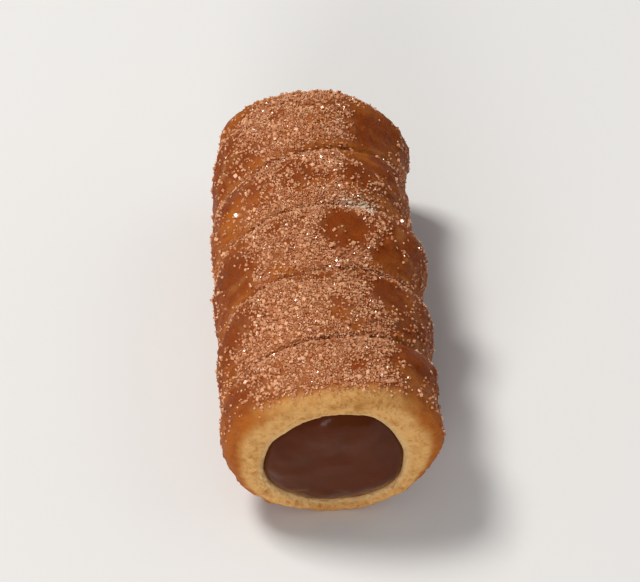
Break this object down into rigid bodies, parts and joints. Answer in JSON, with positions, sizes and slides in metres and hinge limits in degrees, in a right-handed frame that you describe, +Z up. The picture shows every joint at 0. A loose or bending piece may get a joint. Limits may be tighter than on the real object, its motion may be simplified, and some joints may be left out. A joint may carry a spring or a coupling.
{
  "type": "cream horn",
  "caption": "Small cream horn lying on its side: a strip of sweet dough wound into a tube, fried golden brown and filled to both mouths with chocolate cream.",
  "frame": {"origin": "middle of the footprint, on the surface that the horn lies on", "axes": "+Y along the horn from its wide front mouth to its back mouth, +Z up, +X to the right as seen from the front mouth"},
  "size_m": [0.0312, 0.063, 0.0287],
  "materials": {
    "pastry": "matt, golden brown, paler at the mouths",
    "chocolate_cream": "satin, dark milk-chocolate brown"
  },
  "bodies": {
    "root": {"pastry": "pastry", "chocolate_cream": "chocolate_cream"}
  },
  "joints": []
}
